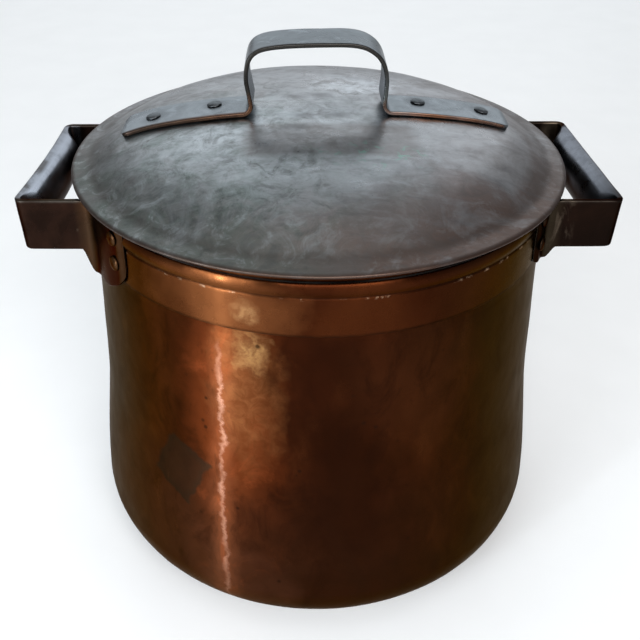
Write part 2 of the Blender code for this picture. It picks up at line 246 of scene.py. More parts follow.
# ---- material helpers
class Graph:
    """Short way to write a node material, with a working colour that is painted over step by step."""

    def __init__(self, name):
        self.mat = bpy.data.materials.new(name)
        self.mat.use_nodes = True
        self.tree = self.mat.node_tree
        self.bsdf = self.tree.nodes["Principled BSDF"]
        self.coord = self.node("TexCoord", out="Object")
        self.x, self.y, self.z = (self.axis(i, self.coord) for i in range(3))
        self.colour = None

    def link(self, value, socket):
        if isinstance(value, bpy.types.NodeSocket):
            self.tree.links.new(value, socket)
        else:
            socket.default_value = value

    def node(self, kind, out=0, props=None, **inputs):
        """An output of a new shader node. Inputs go by name, or by number as i0, i1 and i2."""
        n = self.tree.nodes.new("ShaderNode" + kind)
        for key, value in (props or {}).items():
            setattr(n, key, value)
        for key, value in inputs.items():
            name = key.replace("_", " ")
            self.link(value, n.inputs[name if name in n.inputs else int(key[1:])])
        return n.outputs[out]

    def math(self, op, a, b=0.0, c=0.0):
        return self.node("Math", props={"operation": op}, i0=a, i1=b, i2=c)

    def add(self, a, b):
        return self.math("ADD", a, b)

    def sub(self, a, b):
        return self.math("SUBTRACT", a, b)

    def mul(self, product, *factors):
        for factor in factors:
            product = self.math("MULTIPLY", product, factor)
        return product

    def abs(self, value):
        return self.math("ABSOLUTE", value)

    def vector(self, op, a, b):
        return self.node("VectorMath", props={"operation": op}, i0=a, i1=b)

    def length(self, vector):
        return self.node("VectorMath", out=1, props={"operation": "LENGTH"}, i0=vector)

    def axis(self, index, coord):
        return self.node("SeparateXYZ", out=index, Vector=coord)

    def stretch(self, factors, shift=(0, 0, 0), turn=0):
        """The object's coordinates scaled, turned round Z by degrees and moved."""
        return self.node("Mapping", Vector=self.coord, Location=shift,
                         Rotation=(0, 0, radians(turn)), Scale=factors)

    def noise(self, scale, detail=3.0, rough=0.55, warp=0.0, coord=None):
        return self.node("TexNoise", Vector=coord or self.coord, Scale=scale, Detail=detail,
                         Roughness=rough, Distortion=warp)

    def cells(self, scale, smooth=None, coord=None):
        """Distance to the nearest of scattered points, sharp or smoothed."""
        more = {"Smoothness": smooth} if smooth else {}
        return self.node("TexVoronoi", props={"feature": "SMOOTH_F1" if smooth else "F1"},
                         Vector=coord or self.coord, Scale=scale, **more)

    def span(self, value, low, high, to_low=0.0, to_high=1.0):
        """The value's way from low to high, clamped and carried over to a new range."""
        return self.node("MapRange", Value=value, From_Min=low, From_Max=high, To_Min=to_low,
                         To_Max=to_high)

    def ramp(self, value, *stops):
        n = self.tree.nodes.new("ShaderNodeValToRGB")
        self.link(value, n.inputs[0])
        band = n.color_ramp
        while len(band.elements) < len(stops):
            band.elements.new(0.5)
        for e, (pos, colour) in zip(band.elements, stops):
            e.position = pos
            e.color = (*colour, 1.0)
        return n.outputs[0]

    def mix(self, factor, a, b):
        n = self.tree.nodes.new("ShaderNodeMix")
        n.data_type = "RGBA"
        for value, socket in ((factor, n.inputs[0]), (a, n.inputs[6]), (b, n.inputs[7])):
            self.link((*value, 1.0) if isinstance(value, tuple) else value, socket)
        return n.outputs[2]

    def paint(self, colour, *amounts):
        """Lay a colour over the working colour, by the product of the amounts."""
        self.colour = self.mix(self.mul(*amounts), self.colour, colour)

    def spot(self, centre, radius, soft, wobble, scale, squash=(1, 1, 1)):
        """1 within a ragged ball round a place on the object, fading to 0."""
        far = self.length(self.vector("MULTIPLY", self.vector("SUBTRACT", self.coord, centre), squash))
        far = self.add(far, self.span(self.noise(scale, 4), 0, 1, -wobble, wobble))
        return self.span(far, radius * (1 + soft), radius * (1 - soft))

    def unroll(self, radius):
        """Coordinates on the unrolled wall: metres round from the front, to the right, and height."""
        angle = self.math("ARCTAN2", self.x, self.mul(self.y, -1.0))
        return self.node("CombineXYZ", X=self.mul(angle, radius), Y=self.z)

    def local(self, flat, centre, size=(1, 1), turn=0):
        """Coordinates round a place on the unrolled wall, in units of this size, turned by degrees."""
        return self.node("Mapping", props={"vector_type": "TEXTURE"}, Vector=flat,
                         Location=(*centre, 0), Rotation=(0, 0, radians(turn)), Scale=(*size, 1))

    def patch(self, flat, centre, size, soft, wobble, scale):
        """1 within a ragged oval on the unrolled wall, fading to 0."""
        far = self.length(self.local(flat, centre, size))
        far = self.add(far, self.span(self.noise(scale, 4), 0.25, 0.75, -wobble, wobble))
        return self.span(far, 1 + soft, 1 - soft)

    def brushed_round(self):
        """Brush marks run round the Z axis."""
        tangent = self.node("Tangent", props={"direction_type": "RADIAL", "axis": "Z"})
        self.link(tangent, self.bsdf.inputs["Tangent"])

    def finish(self, rough, bumps=(), metallic=1.0, **fixed):
        """The finished material. bumps are (height, distance, strength), one laid over the other, and
        fixed gives further values for the shader's own sockets."""
        self.link(self.colour, self.bsdf.inputs["Base Color"])
        self.link(rough, self.bsdf.inputs["Roughness"])
        self.bsdf.inputs["Metallic"].default_value = metallic
        below = {}
        for height, distance, strength in bumps:
            below = {"Normal": self.node("Bump", Height=height, Distance=distance,
                                         Strength=strength, **below)}
        if bumps:
            self.link(below["Normal"], self.bsdf.inputs["Normal"])
        for key, value in fixed.items():
            self.bsdf.inputs[key.replace("_", " ")].default_value = value
        return self.mat


# ---- materials
BODY_UNROLL_R, BAND_UNROLL_R = 164 * MM, 160 * MM
COPPER_TINT = (0.6, 0.54, 0.47, 1.0)


def lid_top_height(x, y):
    """Rough height of the lid's top over the lid edge, from millimetres in plan to metres."""
    return interpolate(LID_SHAPE, hypot(x, y)) * MM


def copper_body():
    g = Graph("aged_copper")
    flat = g.unroll(BODY_UNROLL_R)
    around = g.axis(0, flat)
    broad = g.noise(16, 4, 0.55, 0.5, g.stretch((1, 1, 0.3)))
    fine = g.noise(60, 5, 0.62, 0.4, g.stretch((1, 1, 0.6)))
    g.colour = g.ramp(broad, (0.32, (0.024, 0.0058, 0.0022)), (0.48, (0.034, 0.0082, 0.0029)),
                      (0.58, (0.044, 0.0108, 0.0036)), (0.72, (0.062, 0.016, 0.005)))
    g.paint((0.022, 0.0055, 0.0023), g.span(fine, 0.45, 0.72, 0.0, 0.5))
    g.paint((0.08, 0.022, 0.0066), g.span(fine, 0.44, 0.3, 0.0, 0.35))
    # warm copper with a painted glow round the bright line left of the middle, a painted glint low down
    # there, and a dark band right of the middle
    warm = g.patch(flat, (-0.062, 0.165), (0.031, 0.13), 0.42, 0.34, 30)
    g.paint((0.142, 0.0305, 0.0082), warm, 0.66)
    g.paint((0.19, 0.064, 0.034), g.patch(flat, (-0.05, 0.034), (0.026, 0.024), 0.7, 0.5, 40), 0.55)
    g.paint((0.0125, 0.0036, 0.0017), g.patch(flat, (0.018, 0.15), (0.034, 0.13), 0.6, 0.35, 26), 0.85)
    # blotchy darkening right of the middle and towards the bottom
    blotches = g.noise(11, 5, 0.6, 0.8, g.stretch((1, 1, 0.55), (3.1, 0.4, 1.7)))
    g.paint((0.0175, 0.0076, 0.0033), g.span(around, 0.035, 0.105), g.span(blotches, 0.36, 0.6, 0.35, 0.95))
    g.paint((0.0185, 0.007, 0.0034), g.span(blotches, 0.4, 0.62, 0.35, 1.0), g.span(g.z, 0.16, 0.05), 0.75)
    # painted dark olive reflection at both flanks and behind
    side = g.span(g.abs(g.add(around, 0.012)), 0.115, 0.18)
    olive = g.mix(g.span(blotches, 0.35, 0.65), (0.028, 0.017, 0.0078), (0.036, 0.0175, 0.0075))
    g.paint(olive, side, 0.82)
    # painted highlights: bright yellowish mottling under the band and a paler veil right of the bright line
    mottle = g.span(g.noise(130, 5, 0.66, 0.6), 0.38, 0.62)
    glow = g.patch(flat, (-0.05, 0.205), (0.018, 0.045), 0.6, 0.5, 46)
    g.paint((0.26, 0.1, 0.034), glow, g.span(mottle, 0, 1, 0.35, 1.0), 0.55)
    painted_glint = g.mul(g.patch(flat, (-0.0457, 0.234), (0.0085, 0.012), 0.7, 0.6, 90),
                   g.span(mottle, 0, 1, 0.25, 1.0))
    g.paint((0.42, 0.225, 0.085), painted_glint, 0.85)
    # painted highlight: a thin jagged bright line from the band down to the base, with a painted glow close
    # round it
    bow = g.span(g.z, 0.03, 0.11, -0.0634, -0.0672)
    jag = g.add(g.span(g.noise(52, 3, 0.6, 0, g.stretch((0, 0, 1))), 0.25, 0.75, -0.004, 0.004),
                g.span(g.noise(190, 4, 0.7), 0.25, 0.75, -0.0017, 0.0017))
    away = g.abs(g.sub(around, g.add(bow, jag)))
    width = g.span(g.noise(75, 4, 0.65, 0, g.stretch((0, 0, 1), (0, 0, 7.3))), 0.32, 0.68,
                   0.0006, 0.0027)
    ends = g.mul(g.span(g.z, 0.24, 0.205), g.span(g.z, 0.012, 0.03))
    bright = g.span(g.noise(95, 4, 0.65), 0.36, 0.6, 0.35, 1.0)
    bright = g.mul(bright, g.span(g.z, 0.05, 0.21, 0.35, 1.0))
    line = g.mul(g.span(g.math("DIVIDE", away, width), 1.4, 0.1), ends, bright)
    g.paint((0.215, 0.064, 0.025), g.span(away, 0.012, 0.002), ends, 0.34)
    # browner low on the left, ruddy high on the right, plain brown behind, stains all over
    g.paint((0.072, 0.0235, 0.0105), g.patch(flat, (-0.108, 0.07), (0.06, 0.044), 0.8, 0.5, 20), 0.5)
    g.paint((0.058, 0.017, 0.006), g.patch(flat, (0.066, 0.208), (0.032, 0.036), 0.8, 0.6, 26), 0.55)
    g.paint((0.056, 0.016, 0.0058), g.span(g.y, 0.03, 0.12), g.span(broad, 0.35, 0.6, 0.45, 0.85))
    stain_and_glow_mottle = g.noise(34, 7, 0.7, 0.9, g.stretch((1, 1, 0.6)))
    g.paint((0.014, 0.0042, 0.002), g.span(stain_and_glow_mottle, 0.47, 0.33, 0.0, 0.6), g.span(glow, 0, 1, 1.0, 0.15))
    # bright mottles within the painted glow
    g.paint((0.24, 0.054, 0.016), g.span(stain_and_glow_mottle, 0.54, 0.68), g.mul(warm, 0.45))
    # the painted bright line, laid over all
    g.paint((0.54, 0.265, 0.175), line, 0.68)
    # square dark stain low on the left
    label = g.local(flat, (-0.101, 0.124), turn=-25)
    ragged = g.span(g.noise(120, 4), 0.25, 0.75, -0.0022, 0.0022)
    out_x = g.sub(g.add(g.abs(g.axis(0, label)), ragged), 0.0175)
    out_y = g.sub(g.add(g.abs(g.axis(1, label)), ragged), 0.0215)
    out = g.math("MAXIMUM", out_x, out_y)
    dark_mark = g.mul(g.span(out, 0.001, -0.0012), g.span(out, -0.0065, -0.0012, 0.66, 0.92))
    g.paint((0.03, 0.015, 0.008), dark_mark)
    # small dark specks and pale scratches
    speck = g.mul(g.span(g.cells(70), 0.13, 0.06), g.span(g.noise(26, 2), 0.5, 0.6))
    g.paint((0.014, 0.0055, 0.003), speck, 0.75)
    pale = g.span(g.noise(48, 6, 0.7, 1.5, g.stretch((1, 1, 0.22))), 0.66, 0.76)
    g.paint((0.17, 0.06, 0.022), pale, 0.35)

    rough = g.span(fine, 0.3, 0.75, 0.27, 0.36)
    rough = g.add(rough, g.mul(dark_mark, 0.12))
    rough = g.sub(rough, g.mul(line, 0.05))
    rough = g.add(rough, g.mul(side, 0.05))
    g.brushed_round()
    bumps = [(g.cells(66, 0.6, g.stretch((1, 1, 0.8))), 0.0003, 0.6),
             (g.noise(110, 3, 0.55, 0.4), 0.00016, 0.6),
             (g.noise(330, 3, 0.6, 0.0, g.stretch((1, 1, 1.6))), 0.00004, 0.6)]
    return g.finish(rough, bumps, Anisotropic=0.97, Anisotropic_Rotation=0.25, Specular_Tint=COPPER_TINT)


def copper_band():
    g = Graph("band_copper")
    flat = g.unroll(BAND_UNROLL_R)
    around = g.axis(0, flat)
    broad = g.noise(20, 4, 0.55, 0.4, g.stretch((1, 1, 0.6)))
    fine = g.noise(75, 5, 0.62)
    g.colour = g.ramp(broad, (0.3, (0.026, 0.006, 0.0021)), (0.5, (0.038, 0.009, 0.0029)),
                      (0.72, (0.058, 0.015, 0.0045)))
    g.paint((0.042, 0.0115, 0.0042), g.span(fine, 0.45, 0.72, 0.0, 0.5))
    # painted highlight: an orange glow on the band above the bright line, and paler yellowish glints beside
    # it
    g.paint((0.205, 0.069, 0.023), g.patch(flat, (-0.062, 0.268), (0.04, 0.03), 0.5, 0.35, 34), 0.62)
    mottle = g.span(g.noise(130, 5, 0.66, 0.6), 0.38, 0.62, 0.25, 1.0)
    painted_glint = g.mul(g.patch(flat, (-0.0461, 0.263), (0.007, 0.0055), 0.7, 0.6, 90), mottle)
    g.paint((0.36, 0.185, 0.078), painted_glint, 0.85)
    g.paint((0.021, 0.0105, 0.005), g.span(around, 0.06, 0.14), 0.8)
    g.paint((0.088, 0.029, 0.013), g.span(around, -0.115, -0.175), 0.7)
    plain = g.mix(g.span(broad, 0.35, 0.65), (0.026, 0.01, 0.0044), (0.044, 0.015, 0.0058))
    g.paint(plain, g.span(g.y, 0.02, 0.11))
    # dirt in the scored line, and painted shadow along the lower edge
    line = g.span(g.abs(g.sub(g.z, BAND_LINE)), 0.0012, 0.0002)
    foot = g.span(g.z, BAND_BOTTOM + 0.0024, BAND_BOTTOM + 0.0002)
    dirt_and_shadow = g.mul(g.math("MAXIMUM", g.mul(line, 0.7), foot), g.span(g.noise(120, 3), 0.3, 0.55, 0.35, 1.0))
    g.paint((0.014, 0.0055, 0.003), dirt_and_shadow, 0.85)
    glint = g.mul(g.span(g.abs(g.sub(g.z, BAND_LINE - 0.0012)), 0.001, 0.0003),
                  g.span(g.noise(140, 4, 0.7), 0.56, 0.66))
    g.paint((0.3, 0.19, 0.12), glint, 0.8)
    rough = g.span(fine, 0.3, 0.75, 0.24, 0.34)
    rough = g.add(rough, g.mul(dirt_and_shadow, 0.25))
    g.brushed_round()
    bumps = [(g.noise(70, 3, 0.5, 0.4), 0.00035, 0.5), (g.noise(330, 3, 0.6), 0.00004, 0.6)]
    return g.finish(rough, bumps, Anisotropic=0.9, Anisotropic_Rotation=0.25, Specular_Tint=COPPER_TINT)


def lid_metal():
    g = Graph("lid_grey")
    broad = g.noise(9, 4, 0.55, 0.5)
    cloud = g.noise(26, 6, 0.62, 0.6)
    x, y = g.x, g.y
    g.colour = g.ramp(broad, (0.3, (0.19, 0.198, 0.21)), (0.5, (0.245, 0.258, 0.276)),
                      (0.72, (0.31, 0.33, 0.352)))
    # the lid grows browner towards its edge and darker there as painted shade, most in front and on the
    # right
    reach = g.length(g.vector("MULTIPLY", g.coord, (1, 1, 0)))
    wander = g.add(reach, g.span(cloud, 0.25, 0.75, -0.012, 0.012))
    outer = g.span(wander, 0.1, 0.156)
    g.paint((0.212, 0.158, 0.14), outer, g.span(g.sub(g.mul(x, 0.55), y), -0.06, 0.13), 0.8)
    rosy = g.mul(g.span(g.sub(x, g.mul(y, 0.35)), 0.03, 0.15), g.span(cloud, 0.32, 0.62, 0.45, 1.0))
    g.paint((0.172, 0.138, 0.13), rosy, 0.62)
    g.paint((0.09, 0.08, 0.078), outer, g.span(g.abs(g.add(x, 0.004)), 0.105, 0.165), 0.7)
    flange = g.span(wander, 0.146, 0.158)
    g.paint((0.062, 0.054, 0.05), flange, g.span(y, -0.15, -0.06, 0.1, 0.5))
    # green-grey patina, front left
    patina = g.spot((-0.078, -0.082, 0.316), 0.104, 0.6, 0.03, 22, (1, 1, 0.3))
    mottle = g.span(g.noise(44, 7, 0.68, 1.2), 0.44, 0.62)
    green = g.mul(patina, g.span(mottle, 0, 1, 0.3, 1.0))
    g.paint((0.102, 0.14, 0.122), green, 0.8)
    g.paint((0.105, 0.068, 0.054), outer, g.span(g.sub(g.mul(x, 0.7), y), 0.115, 0.18), 0.7)
    g.paint((0.11, 0.124, 0.112), outer, g.span(g.add(g.mul(x, 0.9), y), -0.135, -0.185), 0.55)
    g.paint((0.052, 0.06, 0.054), patina, g.span(g.noise(75, 6, 0.7, 0.8), 0.52, 0.66), 0.6)
    # painted reflection of the window: paler blotches in front of the strap, left of the middle
    pale = g.mul(g.spot((-0.034, -0.052, 0.325), 0.062, 0.7, 0.02, 26, (1, 1.3, 0.3)),
                 g.span(g.noise(60, 6, 0.68, 0.9), 0.42, 0.62))
    g.paint((0.46, 0.51, 0.545), pale, 0.72)
    # painted reflection of a window: a paler field on the right with a fairly sharp edge
    torn = g.span(cloud, 0.25, 0.75, -0.006, 0.006)
    field = g.mul(g.span(g.add(x, torn), 0.144, 0.139), g.span(x, 0.05, 0.085))
    field = g.mul(field, g.span(g.add(g.abs(g.add(y, 0.04)), torn), 0.05, 0.043))
    corner = g.span(g.add(g.math("MULTIPLY_ADD", x, 0.6, y), torn), -0.028, -0.018)
    field = g.mul(field, corner, g.span(reach, 0.15, 0.143))
    g.paint((0.3, 0.308, 0.32), field, 0.72)
    # painted reflection of the window, further along the same paler band towards the front
    window_sheen = g.mul(g.spot((-0.012, -0.082, 0.32), 0.042, 0.8, 0.014, 34, (1, 1.3, 0.3)),
                  g.span(cloud, 0.36, 0.6, 0.35, 1.0))
    g.paint((0.43, 0.45, 0.47), window_sheen, 0.55)
    # hand-wiped tin mottled all over, strongest in front on the left
    speck = g.noise(64, 8, 0.74, 1.1)
    strong = g.span(g.sub(g.mul(x, 0.6), y), 0.1, -0.02, 0.35, 1.0)
    strong = g.math("MAXIMUM", strong, patina)
    g.paint((0.072, 0.08, 0.077), g.span(speck, 0.49, 0.35), g.mul(strong, 0.78))
    g.paint((0.35, 0.385, 0.4), g.span(speck, 0.52, 0.66), g.mul(strong, 0.62))
    patchy = g.noise(17, 6, 0.68, 0.8)
    g.paint((0.125, 0.112, 0.108), g.span(patchy, 0.47, 0.36, 0.0, 0.42))
    g.paint((0.33, 0.35, 0.368), g.span(patchy, 0.53, 0.64, 0.0, 0.34))
    # a painted glint behind the handle's right leg
    glint = g.mul(g.spot((0.026, 0.046, 0.338), 0.022, 0.8, 0.006, 60, (1, 1.2, 0.3)),
                  g.span(speck, 0.42, 0.6))
    g.paint((0.56, 0.61, 0.65), glint, 0.8)
    # streaky scuffs at a slant
    streak = g.noise(38, 6, 0.6, 0.8, g.stretch((1, 3.2, 1), turn=-32))
    inside = g.span(wander, 0.15, 0.11, 0.25, 1.0)
    g.paint((0.335, 0.358, 0.382), g.span(streak, 0.52, 0.72, 0.0, 0.45), inside)
    g.paint((0.105, 0.106, 0.114), g.span(streak, 0.46, 0.28, 0.0, 0.4))
    # painted reflection of the handle: a smoky brown patch in front of it; small dark spots under it
    handle_reflection = g.mul(g.span(g.abs(g.sub(x, 0.006)), 0.06, 0.05),
                  g.span(g.abs(g.add(y, 0.052)), 0.024, 0.018))
    g.paint((0.142, 0.128, 0.124), handle_reflection, g.span(cloud, 0.32, 0.6, 0.35, 0.6))
    for at in ((-0.011, -0.018), (0.011, -0.017), (-0.016, 0.018), (0.002, 0.021), (-0.018, -0.036)):
        dark_mark = g.spot((at[0], at[1], 0.34), 0.0075, 0.6, 0.004, 130, (1, 1.6, 0.2))
        g.paint((0.07, 0.074, 0.08), dark_mark, 0.55)
    # verdigris specks in the middle, in front of the handle
    verd = g.mul(g.spot((0.03, -0.07, 0.325), 0.028, 0.6, 0.01, 60, (1, 2.2, 1)),
                 g.span(g.noise(150, 4, 0.6, 1.0), 0.56, 0.66))
    g.paint((0.16, 0.33, 0.27), verd, 0.75)
    # a darker line where the dome meets the flange, and pits
    g.paint((0.06, 0.048, 0.042), g.span(g.abs(g.sub(reach, 0.1565)), 0.005, 0.0005), 0.35)
    g.paint((0.052, 0.03, 0.022), g.span(reach, 0.1672, 0.1695), 0.85)
    pits = g.mul(g.span(g.cells(85), 0.11, 0.05), g.span(g.noise(24, 2), 0.54, 0.62))
    g.paint((0.1, 0.098, 0.1), pits, 0.5)

    rough = g.span(cloud, 0.3, 0.72, 0.22, 0.38)
    rough = g.add(rough, g.mul(green, 0.1))
    rough = g.add(rough, g.mul(outer, 0.1))
    rough = g.sub(rough, g.span(streak, 0.55, 0.75, 0.0, 0.08))
    bumps = [(g.cells(52, 0.8), 0.0012, 0.35), (g.noise(34, 3, 0.5, 0.3), 0.0012, 0.35),
             (speck, 0.00035, 0.45), (g.noise(230, 4, 0.6), 0.0001, 0.4)]
    return g.finish(rough, bumps, Specular_Tint=(0.92, 0.9, 0.9, 1.0))


def tinned():
    """Old wiped tin inside the vessel and under the lid."""
    g = Graph("old_tin")
    cloud = g.noise(18, 6, 0.6, 0.5)
    g.colour = g.ramp(cloud, (0.3, (0.2, 0.185, 0.17)), (0.5, (0.34, 0.325, 0.31)),
                      (0.72, (0.46, 0.45, 0.44)))
    g.paint((0.24, 0.12, 0.07), g.span(g.z, 0.1, 0.0), g.span(g.noise(14, 4), 0.4, 0.6), 0.6)
    bumps = [(g.cells(80, 0.7), 0.0009, 0.4), (g.noise(190, 4), 0.0001, 0.5)]
    return g.finish(g.span(cloud, 0.3, 0.7, 0.34, 0.52), bumps)


def dark_strap():
    g = Graph("dark_strap")
    cloud = g.noise(40, 6, 0.6, 0.5)
    g.colour = g.ramp(cloud, (0.32, (0.011, 0.0058, 0.0042)), (0.52, (0.0185, 0.0088, 0.006)),
                      (0.74, (0.033, 0.015, 0.0095)))
    # painted shade: the right handle is darker
    g.paint((0.0052, 0.0036, 0.0028), g.span(g.x, 0.12, 0.17, 0.0, 0.7))
    out, along = g.abs(g.x), g.abs(g.y)
    # the grips are rubbed bright on top by hands and painted black below as shade, with more painted shade
    # on the right handle's front
    grip = g.mul(g.span(out, 0.1895, 0.192), g.span(along, 0.0632, 0.0605))
    inner = g.mul(g.span(out, 0.18, 0.182), g.span(along, 0.061, 0.057))
    grip = g.math("MAXIMUM", g.mul(grip, g.span(g.z, RIM_Z - 0.014, RIM_Z - 0.008)), inner)
    wander = g.span(g.noise(38, 3), 0.3, 0.7, -0.003, 0.003)
    high = g.span(g.add(g.z, wander), RIM_Z - 0.024, RIM_Z - 0.009)
    grip_wear_and_shade = g.mix(high, (0.0085, 0.0088, 0.01), (0.37, 0.4, 0.455))
    grip_wear_and_shade = g.mix(g.span(g.noise(60, 5, 0.6), 0.5, 0.72, 0.0, 0.5), grip_wear_and_shade, (0.07, 0.074, 0.082))
    shaded = g.mul(g.span(g.x, 0.0, 0.01), g.span(g.y, -0.02, -0.06, 0.48, 0.95))
    grip_wear_and_shade = g.mix(shaded, grip_wear_and_shade, (0.03, 0.033, 0.038))
    g.paint(grip_wear_and_shade, grip)
    # feet keep more copper, darkened on the right as painted shade
    foot = g.span(out, 0.16, 0.152)
    coppery = g.mix(g.span(g.noise(34, 4, 0.6, 0.0), 0.35, 0.62), (0.038, 0.022, 0.0125),
                    (0.052, 0.0245, 0.012))
    coppery = g.mix(g.span(g.x, 0.0, 0.02), coppery, (0.021, 0.0155, 0.0098))
    g.paint(coppery, foot, g.span(g.noise(60, 4), 0.3, 0.6, 0.65, 1.0))
    # worn rims of the strap
    pointed = g.node("NewGeometry", out=7)
    g.paint((0.07, 0.058, 0.048), g.span(pointed, 0.515, 0.57),
            g.span(g.noise(90, 5), 0.35, 0.6, 0.15, 1.0), 0.35)
    # the straps' top edge is lighter, as wear and as a painted highlight, less on the right and at the back
    top = g.mul(g.span(g.z, RIM_Z - 0.0062, RIM_Z - 0.0048), g.span(out, 0.199, 0.1965))
    top = g.mul(top, g.span(g.x, 0.0, 0.01, 1.0, 0.35))
    top = g.mul(top, g.span(g.y, 0.0, 0.04, 1.0, 0.4))
    g.paint((0.06, 0.054, 0.046), top, g.span(g.noise(70, 4), 0.35, 0.6, 0.2, 0.75))
    spot = g.spot((0.183, 0.066, RIM_Z - 0.014), 0.0075, 0.3, 0.003, 90, (1, 1, 0.55))
    g.paint((0.12, 0.092, 0.066), spot, 0.8)
    # pale scuffs round the root of each arm
    root = g.mul(g.span(out, 0.15, 0.156), g.span(out, 0.168, 0.162))
    scuff = g.span(g.noise(95, 6, 0.7, 1.0, g.stretch((1, 1, 0.45))), 0.55, 0.68)
    g.paint((0.13, 0.098, 0.072), scuff, root, 0.35)
    rough = g.span(cloud, 0.3, 0.72, 0.24, 0.4)
    bumps = [(g.noise(42, 3, 0.5, 0.3), 0.0006, 0.45), (g.noise(240, 4, 0.65), 0.0001, 0.5)]
    return g.finish(rough, bumps, Specular_Tint=(0.42, 0.38, 0.36, 1.0))


def lid_strap():
    g = Graph("lid_strap")
    cloud = g.noise(30, 6, 0.6, 0.5)
    g.colour = g.ramp(cloud, (0.3, (0.074, 0.082, 0.086)), (0.52, (0.112, 0.126, 0.132)),
                      (0.74, (0.19, 0.21, 0.218)))
    g.paint((0.062, 0.065, 0.068), g.span(g.noise(60, 7, 0.74, 0.9), 0.48, 0.64), 0.7)
    g.paint((0.33, 0.37, 0.395), g.span(g.noise(75, 6, 0.7, 0.8), 0.56, 0.7, 0.0, 0.45))
    # the feet are wiped paler with the lid, with painted blotchy highlights
    g.paint((0.3, 0.325, 0.345), g.span(g.z, RIM_Z + 0.04, RIM_Z + 0.036),
            g.span(g.noise(48, 6, 0.7, 0.8), 0.36, 0.6, 0.3, 1.0), 0.55)
    # dark legs
    g.paint((0.052, 0.055, 0.052), g.span(g.z, RIM_Z + 0.037, RIM_Z + 0.042),
            g.span(g.z, RIM_Z + 0.0775, RIM_Z + 0.07), 0.72)
    # cut edge in front: rusty brown on the feet, near black up the legs and under the crest
    middle = g.math("MULTIPLY_ADD", g.span(g.x, 0.043, 0.131), 0.0092, -0.0011)
    across = g.abs(g.sub(g.y, middle))
    rim = g.mul(g.span(across, LID_STRAP_W / 2 - 0.0021, LID_STRAP_W / 2 - 0.0012),
                g.span(g.y, 0.012, 0.004, 0.25, 1.0))
    low = g.span(g.z, RIM_Z + 0.052, RIM_Z + 0.041)
    rust = g.mix(g.span(g.x, -0.12, 0.06), (0.04, 0.024, 0.015), (0.165, 0.07, 0.033))
    rust = g.mix(g.span(g.noise(120, 5, 0.65), 0.45, 0.68, 0.0, 0.6), rust, (0.045, 0.022, 0.014))
    rust = g.mix(low, (0.026, 0.0235, 0.021), rust)
    g.paint(rust, rim, 0.95)
    # darker rings round the rivets
    for x, row in LID_RIVETS.values():
        ring = g.spot((x * MM, row * MM, RIM_Z + lid_top_height(x, row) + 0.004), 0.0085, 0.35, 0.0035, 110)
        g.paint((0.046, 0.049, 0.052), ring, 0.52)
    rough = g.span(cloud, 0.3, 0.72, 0.22, 0.36)
    bumps = [(g.noise(55, 3, 0.5, 0.3), 0.0006, 0.4), (g.noise(260, 4, 0.65), 0.0001, 0.5)]
    return g.finish(rough, bumps, Specular_Tint=(0.8, 0.82, 0.85, 1.0))


def rivet_metal(name, light, dark, shaded=False):
    g = Graph(name)
    cloud = g.noise(120, 5, 0.6, 0.4)
    g.colour = g.ramp(cloud, (0.32, dark), (0.66, light))
    if shaded:
        g.paint((0.012, 0.0075, 0.005), g.span(g.x, 0.1, 0.13, 0.0, 0.85))
    tint = (0.5, 0.42, 0.34, 1.0) if shaded else (0.75, 0.78, 0.8, 1.0)
    bumps = [(g.noise(260, 3, 0.6), 0.0004, 0.6)]
    return g.finish(g.span(cloud, 0.3, 0.7, 0.26, 0.42), bumps, Specular_Tint=tint)


COPPER = copper_body()
BAND = copper_band()
LID = lid_metal()
TIN = tinned()
STRAP = dark_strap()
LID_STRAP = lid_strap()
RIVET = rivet_metal("rivet_copper", (0.062, 0.03, 0.014), (0.024, 0.011, 0.0055), True)
LID_RIVET = rivet_metal("rivet_grey", (0.13, 0.138, 0.146), (0.024, 0.025, 0.028))


# ---- vessel
def hammered(p):
    """Inward and outward play of hand-raised sheet, in metres."""
    return 0.00028 * noisy(p, 0.07, 3.0) + 0.00016 * noisy(p, 0.024, 7.0) + 0.00007 * noisy(p, 0.011, 1.0)


def push(p, by):
    """Move a point outwards from the pot's axis."""
    r = hypot(p.x, p.y)
    return p if r < 1e-6 else Vector((p.x * (1 + by / r), p.y * (1 + by / r), p.z))


belly_r = WALL_SHAPE[0][1] * MM
base_curve = [Vector((BASE_R + (belly_r - BASE_R) * cos(a), BASE_FILLET * (1 + sin(a))))
              for a in (radians(-90 + 90 * i / 20) for i in range(20))]
wall = smooth_curve([(r * MM, z * MM) for z, r in WALL_SHAPE], 14)
wall[-1].y = WALL_TOP
outside = [Vector((BASE_R * t, 0)) for t in (0.0, 0.25, 0.5, 0.75, 0.93)] + base_curve + wall
inside = offset(outside, WALL_T)
inside[0] = Vector((0, WALL_T))
inside[-1] = Vector((wall[-1].x - WALL_T, WALL_TOP))
half_way = len(outside)


def wall_shape(p, j):
    """Hammered wall, calm under the band and at the base."""
    if p.z < 1e-6:
        return p
    free = clamp((BAND_BOTTOM + 0.004 - p.z) / 0.03) * clamp(p.z / 0.02)
    return push(p, hammered(p) * free - 0.0002 * free)


pot_body = turned("pot_body_skin", [tuple(p) for p in outside + inside[::-1]], [COPPER, TIN], wall_shape,
                  lambda j: 0 if j < half_way - 1 or j == 2 * half_way - 1 else 1)
place(pot_body, "pot", "aged_copper", "pot_body")

